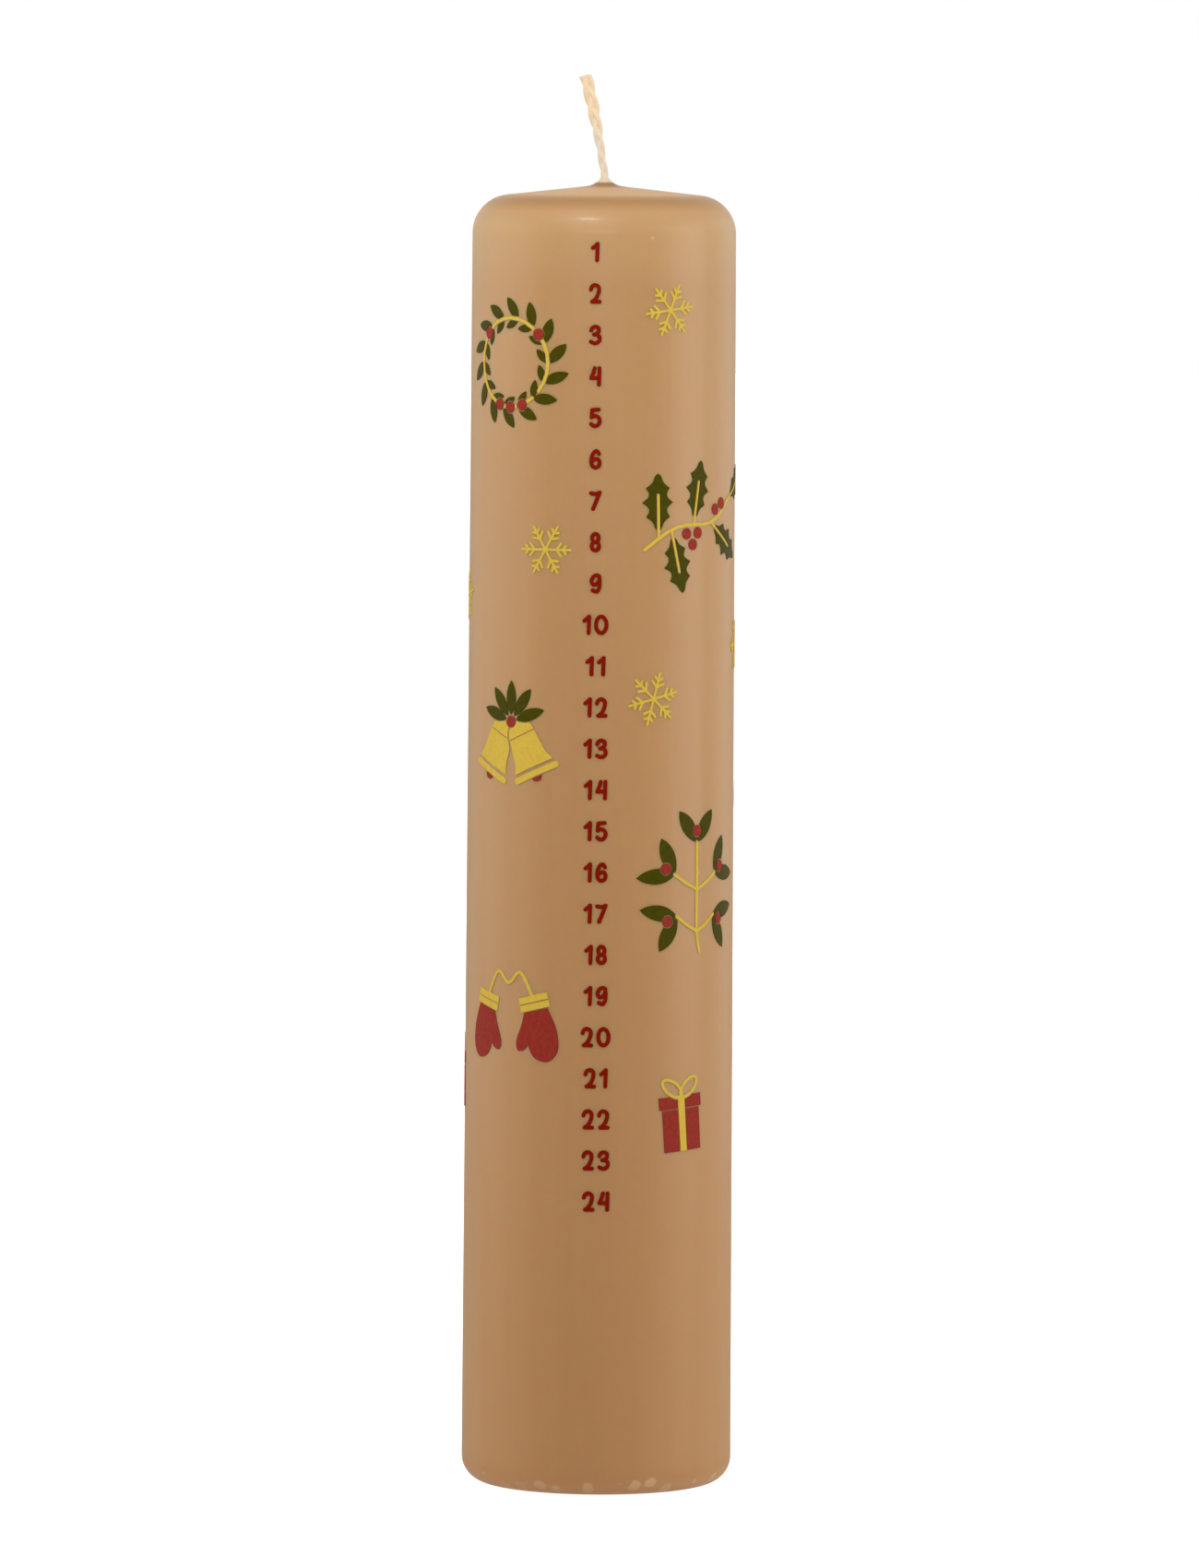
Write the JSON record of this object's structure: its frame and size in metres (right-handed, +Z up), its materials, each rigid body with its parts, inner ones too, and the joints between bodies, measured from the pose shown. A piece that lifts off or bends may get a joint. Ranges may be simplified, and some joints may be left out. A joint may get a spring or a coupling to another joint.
{
  "type": "calendar candle",
  "caption": "Dipped pillar candle with a column of day numbers and a printed winter pattern, a leaning braided wick and a flat planed base.",
  "frame": {"origin": "middle of the flat base, on the candle's axis, at the surface that it stands on", "axes": "+Z up along the candle's axis towards the wick, -Y towards the viewer of the numbers, +X to the viewer's right"},
  "size_m": [0.052, 0.052, 0.2711],
  "materials": {
    "pressed_wax": "undyed pressed paraffin wax, pale and slightly granular",
    "dyed_wax": "dyed paraffin wax, dipped, translucent, semi-gloss",
    "cotton": "braided cotton primed with clear wax",
    "red_ink": "printed ink film, satin",
    "green_ink": "printed ink film, satin",
    "yellow_ink": "printed ink film, satin"
  },
  "bodies": {
    "root": {"wax_core": "pressed_wax", "dip_coat": "dyed_wax", "wick": "cotton", "day_01": "red_ink", "day_02": "red_ink", "day_03": "red_ink", "day_04": "red_ink", "day_05": "red_ink", "day_06": "red_ink", "day_07": "red_ink", "day_08": "red_ink", "day_09": "red_ink", "day_10": "red_ink", "day_11": "red_ink", "day_12": "red_ink", "day_13": "red_ink", "day_14": "red_ink", "day_15": "red_ink", "day_16": "red_ink", "day_17": "red_ink", "day_18": "red_ink", "day_19": "red_ink", "day_20": "red_ink", "day_21": "red_ink", "day_22": "red_ink", "day_23": "red_ink", "day_24": "red_ink", "holly_berries": "red_ink", "wreath_berries": "red_ink", "bell_clappers": "red_ink", "mistletoe_berries": "red_ink", "mittens": "red_ink", "gift_boxes": "red_ink", "holly_leaves": "green_ink", "wreath_leaves": "green_ink", "bell_leaves": "green_ink", "mistletoe_leaves": "green_ink", "holly_stems": "yellow_ink", "wreath_twig": "yellow_ink", "bells": "yellow_ink", "snowflakes": "yellow_ink", "mistletoe_stems": "yellow_ink", "mitten_cuffs": "yellow_ink", "gift_ribbons": "yellow_ink"}
  },
  "joints": []
}
